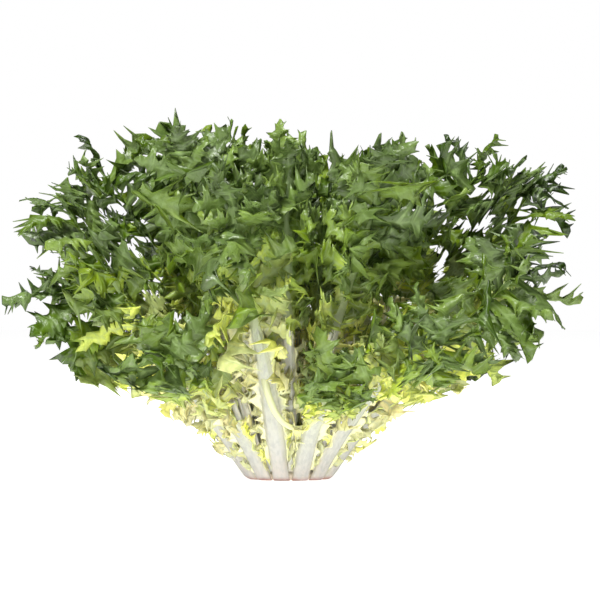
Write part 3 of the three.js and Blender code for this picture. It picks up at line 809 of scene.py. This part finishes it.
def leaf_material(name, stops, through):
    """A thin blade, coloured by stops from its foot to its tip. through tints the light let through."""
    n = Nodes(name)
    patchy = n.noise(70, 3)
    tip = n.value("tip")
    place_on_leaf = n.math("ADD", tip, n.math("MULTIPLY", n.math("SUBTRACT", patchy, 0.5), 0.9))
    blade = n.ramp(place_on_leaf, stops)
    # The frilled lobes low down are cream to lime by their tone.
    margin = n.ramp(n.value("tone"), LOBE_MARGIN_STOPS)
    blade = n.mix(n.math("MULTIPLY", n.value("yellow"), 0.85), blade, margin)
    # Lobes differ in tone, and each is mottled.
    tone = n.add("ShaderNodeHueSaturation", Saturation=1.05)
    varied = n.math("ADD", n.math("MULTIPLY", n.value("tone"), 1.7), 0.15)
    mottled = n.math("ADD", varied, n.math("MULTIPLY", n.math("SUBTRACT", n.noise(210, 3), 0.45), 1.2))
    n.set(tone, "Value", n.math("MAXIMUM", mottled, n.value("yellow")))
    n.set(tone, "Hue", n.math("ADD", n.math("MULTIPLY", n.value("tone"), -0.04), 0.51))
    n.set(tone, "Color", blade)
    sided = n.mix(n.math("MULTIPLY", n.value("under"), 0.3), tone.outputs[0], UNDERSIDE)
    # Pale veins, and painted light along the lobes' edges, both in the vein colour
    vein = n.ramp(tip, VEIN_STOPS)
    vein_and_lit_edge_share = n.math("POWER", n.value("pale"), 3.0, clamp=True)
    colour = n.mix(n.math("MULTIPLY", vein_and_lit_edge_share, 0.92), sided, vein)
    bump = n.add("ShaderNodeBump", Strength=0.6, Distance=0.0025, Height=n.noise(170, 4))
    shader = n.add("ShaderNodeBsdfPrincipled", Base_Color=colour, Roughness=0.34, Normal=bump.outputs[0])
    greener = n.math("SUBTRACT", 0.5, n.math("MULTIPLY", n.value("yellow"), 0.5), clamp=True)
    let_through = n.mix(greener, colour, through)
    glow = n.add("ShaderNodeBsdfTranslucent", Color=let_through, Normal=bump.outputs[0])
    both = n.add("ShaderNodeMixShader", Fac=0.24)
    n.set(both, 1, shader.outputs[0])
    n.set(both, 2, glow.outputs[0])
    n.add("ShaderNodeOutputMaterial", Surface=both.outputs[0])
    return n.material


def browned_cut(n, where, patches):
    """How brown a stalk or the stem is: in patches at the cut, fading out just above it."""
    height = n.add("ShaderNodeSeparateXYZ", Vector=where).outputs[2]
    near = n.math("SUBTRACT", 1.0, n.math("MULTIPLY", height, 1 / CUT_BROWN_HEIGHT), clamp=True)
    return n.math("MULTIPLY", near, patches, clamp=True)


def stalk_material(name):
    """A waxy white stalk with streaks along it, yellow at its ragged margin and browned at its cut."""
    n = Nodes(name)
    body = n.ramp(n.value("tip"), STALK_STOPS)
    where = n.add("ShaderNodeTexCoord").outputs["Object"]
    stretched = n.add("ShaderNodeMapping", Vector=where, Scale=(1, 1, 0.05)).outputs[0]
    streaks = n.ramp(n.noise(420, 3, stretched), [(0.42, (0, 0, 0)), (0.62, (1, 1, 1))])
    body = n.mix(n.math("MULTIPLY", streaks, 0.5), body, STALK_STREAK)
    # Painted light: the middle stalks take the paler cream, and the frills' outer rows take it as their
    # own colour
    body = n.mix(n.value("pale"), PAINTED_LIGHT_STALK_AND_FRILL, body)
    margin = n.ramp(n.value("tone"), STALK_MARGIN_STOPS)
    patchy = n.math("MULTIPLY", n.value("yellow"), n.math("ADD", n.noise(90, 2), 0.45), clamp=True)
    colour = n.mix(patchy, body, margin)
    cut = browned_cut(n, where, n.math("MULTIPLY", n.noise(160, 2), 1.7))
    colour = n.mix(cut, colour, STALK_CUT)
    bump = n.add("ShaderNodeBump", Strength=0.5, Distance=0.0006, Height=n.noise(900, 2, stretched))
    shader = n.add("ShaderNodeBsdfPrincipled", Base_Color=colour, Roughness=0.36, Normal=bump.outputs[0])
    shader.inputs["Subsurface Weight"].default_value = 0.15
    shader.inputs["Subsurface Radius"].default_value = (0.004, 0.0035, 0.002)
    n.add("ShaderNodeOutputMaterial", Surface=shader.outputs[0])
    return n.material


def stem_material(name):
    """The cut stem: faint rings round its middle, and a browned cut."""
    n = Nodes(name)
    where = n.add("ShaderNodeTexCoord").outputs["Object"]
    rings = n.add("ShaderNodeTexWave", {"wave_type": "RINGS", "rings_direction": "Z"}, Vector=where,
                  Scale=60.0, Distortion=3.0, Detail=2.0)
    flesh = n.mix(n.math("MULTIPLY", rings.outputs["Fac"], 0.5), STEM_FLESH, STEM_RING)
    colour = n.mix(browned_cut(n, where, n.noise(150, 3)), flesh, STEM_CUT)
    bump = n.add("ShaderNodeBump", Strength=0.4, Distance=0.0008, Height=n.noise(500, 3))
    shader = n.add("ShaderNodeBsdfPrincipled", Base_Color=colour, Roughness=0.55, Normal=bump.outputs[0])
    n.add("ShaderNodeOutputMaterial", Surface=shader.outputs[0])
    return n.material


materials = {
    "leaf_green": leaf_material("leaf_green", GREEN_STOPS, (0.26, 0.42, 0.03)),
    "leaf_light_green": leaf_material("leaf_light_green", LIGHT_STOPS, (0.30, 0.46, 0.035)),
    "heart_yellow": leaf_material("heart_yellow", HEART_STOPS, (0.42, 0.50, 0.06)),
    "stalk_white": stalk_material("stalk_white"),
    "cut_stem": stem_material("cut_stem"),
}


# The pieces


def keep(piece, node):
    """Hangs a piece on the root body, and hides the node it stands for."""
    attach(piece, "root")
    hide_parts(node)


def grow_stem():
    """The cut stem: a low cone of packed stalk bases with a flat cut face, uneven round its edge."""
    around = np.linspace(0, 2 * math.pi, STEM_COLUMNS)
    rows = []
    for (r0, z0), (r1, z1) in zip(STEM_PROFILE, STEM_PROFILE[1:]):
        for t in np.linspace(0, 1, STEM_ROWS_A_STEP, endpoint=False):
            rows.append((lerp(r0, r1, t), lerp(z0, z1, t)))
    rows.append(STEM_PROFILE[-1])
    rows = np.array(rows)
    uneven = 1 - STEM_WAVE * (1 + np.sin(around * STEM_WAVES)) / 2
    r = rows[:, :1] * uneven
    grid = np.stack([r * np.cos(around), DEPTH_SHARE * r * np.sin(around),
                     np.broadcast_to(rows[:, 1:], r.shape)], axis=-1)
    shells = Shells()
    shells.add(grid, np.full(grid.shape[:2], STEM_SHELL), {})
    return shells.piece("cut_stem_fine", materials["cut_stem"])


def grow_leaf(leaf, label):
    """One leaf: a stalk piece and a blade piece, or both in one where it is one pale colour."""
    slot = leaf.whorl["green"]
    blade = Shells()
    grow_blade(blade, leaf)
    if leaf.whorl["split"]:
        stalk = Shells()
        grow_stalk(stalk, leaf)
        for side in (-1, 1):
            grow_frill(stalk, leaf, side)
            grow_margin_lobes(blade, leaf, side)
        if label == FORKED:
            grow_fork(stalk)
        white = stalk.piece(f"stalk_{label}_fine", materials["stalk_white"])
        keep(white, f"stalk_{label}")
    else:
        grow_stalk(blade, leaf)
        for side in (-1, 1):
            grow_margin_lobes(blade, leaf, side)
    keep(blade.piece(f"leaf_{label}_fine", materials[slot]), f"leaf_{label}")


keep(grow_stem(), "stem")
number = 0
for whorl in WHORLS:
    for index in range(whorl["count"]):
        number += 1
        grow_leaf(Leaf(whorl, index, number), f"{whorl['name']}_{index + 1:02d}")

# The photograph's view: level, from the front, 0.6 mm to a pixel at the head's middle
VIEW_CENTRE = Vector((0.0066, 0, 0.107))
VIEW_DISTANCE = 1.6
LENS_MM = 160
SENSOR_MM = 36
camera_data = bpy.data.cameras.new("camera")
camera_data.lens = LENS_MM
camera_data.sensor_width = SENSOR_MM
camera = bpy.data.objects.new("camera", camera_data)
camera.location = VIEW_CENTRE + Vector((0, -VIEW_DISTANCE, 0))
camera.rotation_euler = (math.pi / 2, 0, 0)
bpy.context.scene.collection.objects.link(camera)
bpy.context.scene.camera = camera

# Soft studio light: a key from the upper left, a weak fill and a low strip in front, and one above
STRIP_HEIGHT = 0.04
HEAD_MIDDLE = (0, 0, 0.1)
SKY_LIGHT = 0.1  # the background is white in the picture, and lights the head by this share


def area_light(name, where, size, power, target=HEAD_MIDDLE, beam=None):
    """A square light, or a flat strip of light that spreads no wider than its beam in degrees."""
    data = bpy.data.lights.new(name, "AREA")
    data.size = size
    data.energy = power
    if beam:
        data.shape = "RECTANGLE"
        data.size_y = STRIP_HEIGHT
        data.spread = math.radians(beam)
    light = bpy.data.objects.new(name, data)
    light.location = where
    aim = Vector(target) - Vector(where)
    light.rotation_euler = aim.to_track_quat("-Z", "Y").to_euler()
    bpy.context.scene.collection.objects.link(light)


area_light("key", (-0.6, -1.2, 1.6), 0.35, 54)
area_light("fill", (0.4, -1.7, 0.5), 0.8, 2)
area_light("low", (0.0, -1.3, 0.03), 0.5, 0.13, target=(0, 0, -0.01), beam=9)
area_light("top", (0.2, 0.3, 1.7), 0.6, 22)

world = bpy.data.worlds.new("studio")
world.use_nodes = True
seen = world.node_tree.nodes.new("ShaderNodeLightPath").outputs["Is Camera Ray"]
strength = world.node_tree.nodes.new("ShaderNodeMath")
strength.operation = "MULTIPLY_ADD"
strength.inputs[1].default_value = 1 - SKY_LIGHT
strength.inputs[2].default_value = SKY_LIGHT
world.node_tree.links.new(seen, strength.inputs[0])
background = world.node_tree.nodes["Background"]
background.inputs[0].default_value = (1, 1, 1, 1)
world.node_tree.links.new(strength.outputs[0], background.inputs[1])
bpy.context.scene.world = world
bpy.context.scene.view_settings.view_transform = "Standard"

# The floor is plain and pale, and glows enough to be as white as the background.
FLOOR_RADIUS = 8
bpy.ops.mesh.primitive_circle_add(vertices=64, radius=FLOOR_RADIUS, fill_type="NGON", location=(0, 0, 0))
floor = bpy.context.object
floor.name = "floor"
paper = Nodes("floor_paper")
paper_shader = paper.add("ShaderNodeBsdfPrincipled", Base_Color=(0.8, 0.8, 0.8, 1), Roughness=0.8,
                         Emission_Color=(1, 1, 1, 1), Emission_Strength=0.9)
paper.add("ShaderNodeOutputMaterial", Surface=paper_shader.outputs[0])
floor.data.materials.append(paper.material)
